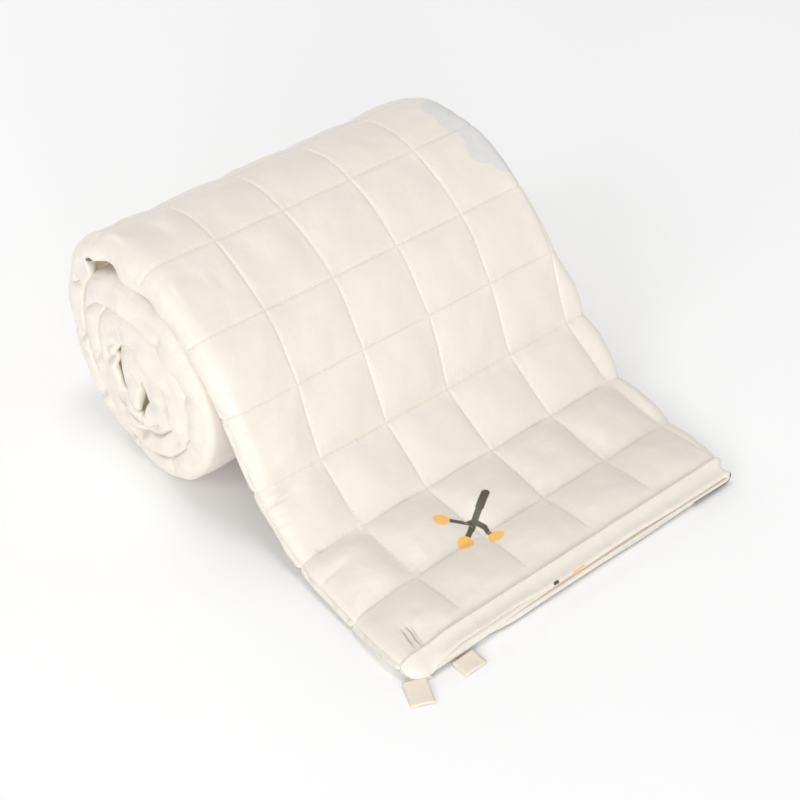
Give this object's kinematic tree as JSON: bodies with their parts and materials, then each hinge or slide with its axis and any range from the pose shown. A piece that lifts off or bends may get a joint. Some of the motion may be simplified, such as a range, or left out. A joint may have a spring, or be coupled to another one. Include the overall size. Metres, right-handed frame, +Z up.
{
  "type": "weighted blanket",
  "caption": "Quilted weighted blanket folded lengthwise into layers and rolled, its loose end laid out in front as a flap with tape loops at the hem corners.",
  "frame": {"origin": "on the floor, under the middle of the blanket's overall box", "axes": "+X along the roll towards the folded side, +Y from the flap's hem towards the roll, +Z up"},
  "size_m": [0.2776, 0.3406, 0.152],
  "materials": {
    "quilted_cotton": "smooth cotton sateen",
    "cotton_tape": "woven tape"
  },
  "bodies": {
    "root": {"blanket": "quilted_cotton", "loop_top": "cotton_tape", "loop_under": "cotton_tape"}
  },
  "joints": []
}
